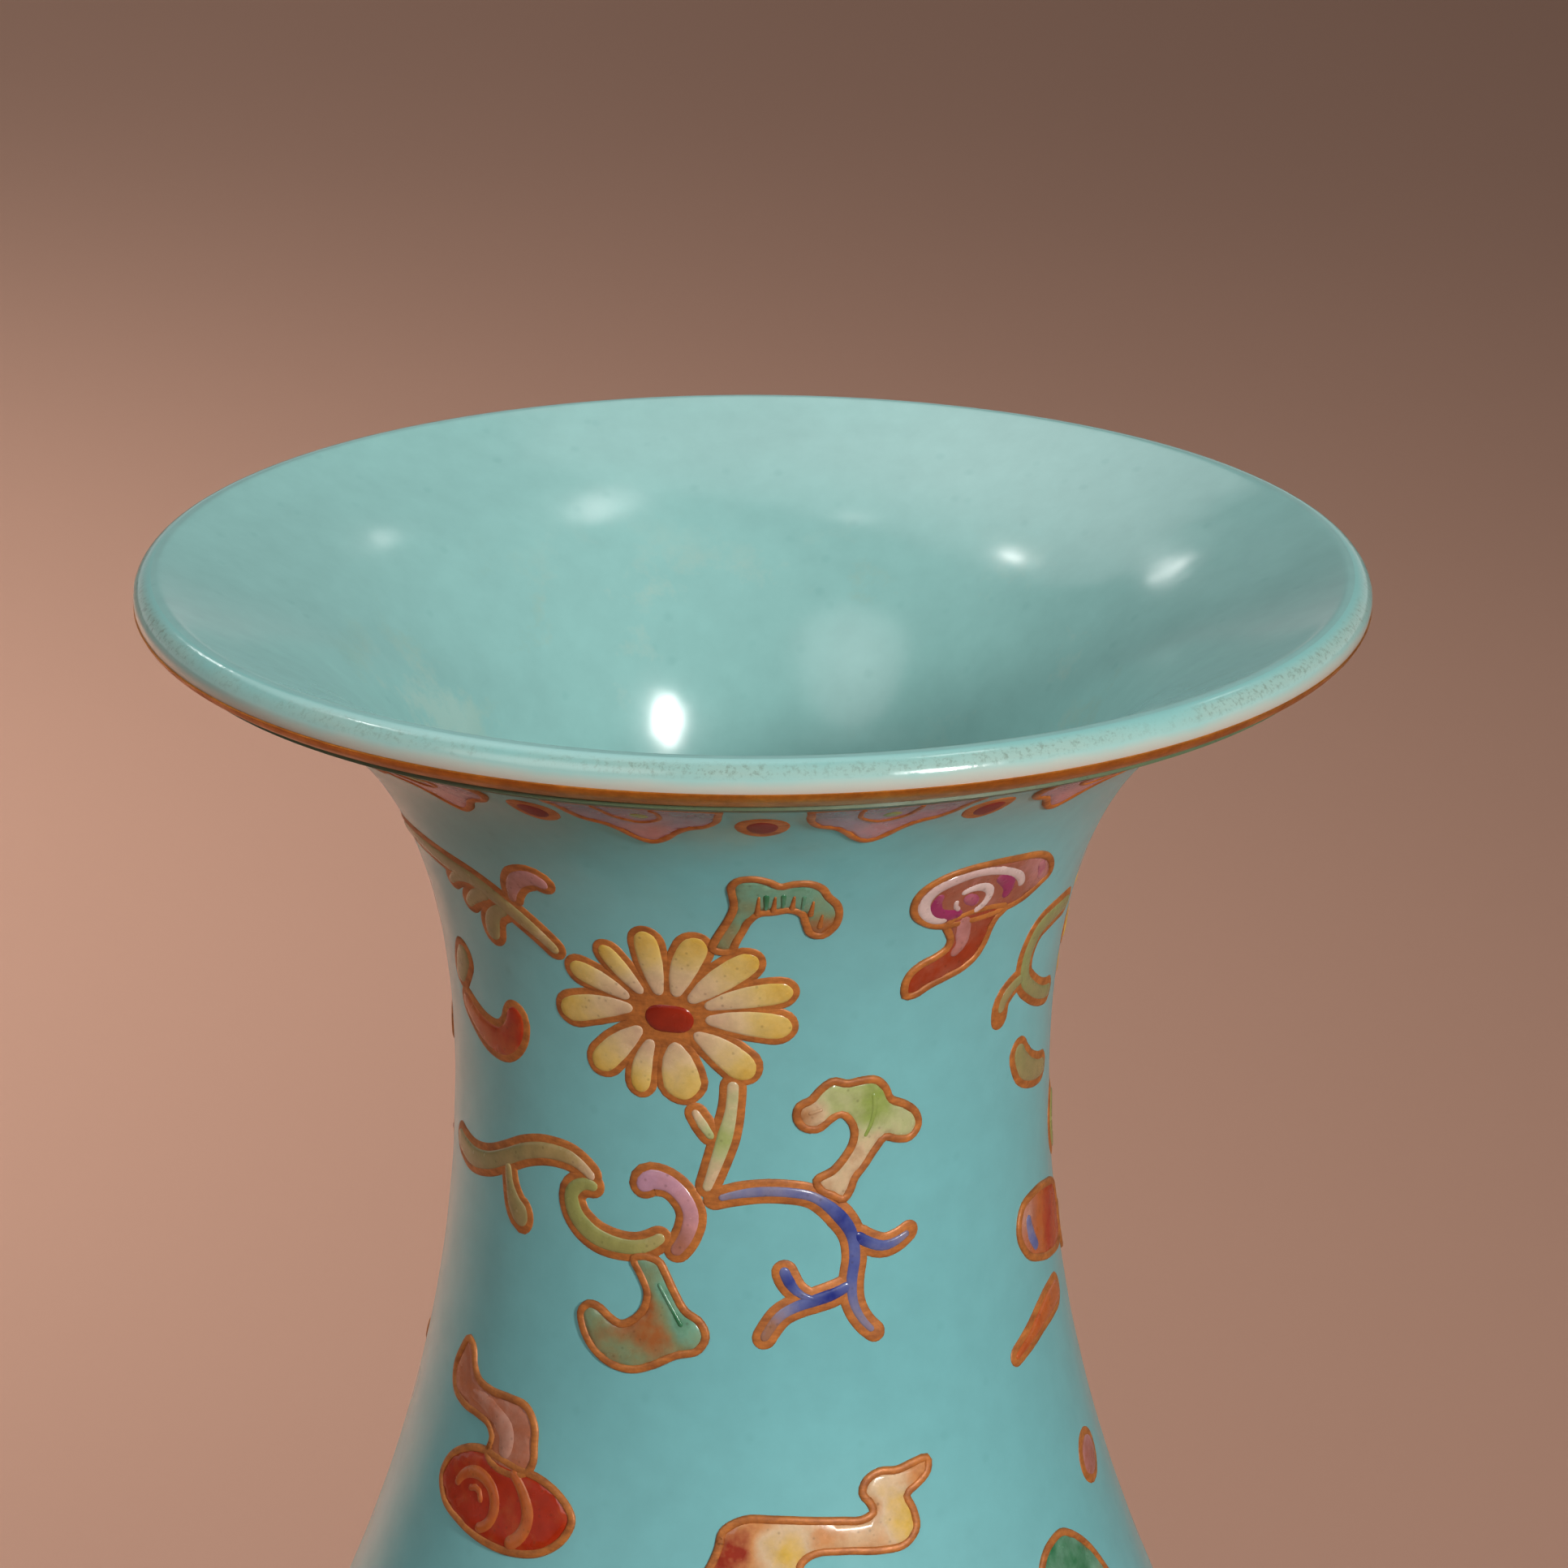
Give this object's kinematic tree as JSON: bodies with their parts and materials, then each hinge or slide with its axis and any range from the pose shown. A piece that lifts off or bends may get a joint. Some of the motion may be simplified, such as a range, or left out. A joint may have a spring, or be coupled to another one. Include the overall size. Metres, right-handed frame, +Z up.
{
  "type": "vase",
  "caption": "Pear-shaped porcelain vase with a flared mouth, turquoise enamel inside and out, gilt lip and painted flower scrolls and clouds.",
  "frame": {"origin": "centre of the foot ring, on the surface that the vase stands on", "axes": "+Z up along the axis of the pot; -Y faces the side that shows the middle of a neck spray"},
  "size_m": [0.1486, 0.1481, 0.246],
  "materials": {
    "porcelain": "bare biscuit porcelain",
    "slip": "bare biscuit slip",
    "clear_glaze": "glossy glaze over white porcelain",
    "turquoise_enamel": "glossy opaque enamel",
    "gold": "worn fired gilding over brown line",
    "pink_enamel": "glossy enamel",
    "red_enamel": "glossy enamel",
    "yellow_enamel": "glossy enamel",
    "green_enamel": "glossy enamel",
    "blue_enamel": "glossy enamel"
  },
  "bodies": {
    "root": {"lower_body": "porcelain", "belly_joint": "slip", "upper_body": "porcelain", "neck_joint": "slip", "neck_and_mouth": "porcelain", "glaze": "clear_glaze", "base_glaze": "clear_glaze", "outer_enamel": "turquoise_enamel", "inner_enamel": "turquoise_enamel", "base_enamel": "turquoise_enamel", "lip_gilding": "gold", "foot_gilding": "gold", "olive_line": "green_enamel", "collar_outlines": "gold", "collar_heads": "pink_enamel", "collar_dots": "green_enamel", "collar_drops": "red_enamel", "flower_petals": "yellow_enamel", "flower_hearts": "red_enamel", "flower_rings": "gold", "green_leaves": "green_enamel", "blue_leaves": "blue_enamel", "vines": "green_enamel", "pink_curls": "pink_enamel", "yellow_scrolls": "yellow_enamel", "pink_clouds": "pink_enamel", "red_clouds": "red_enamel", "lappets": "blue_enamel"}
  },
  "joints": []
}
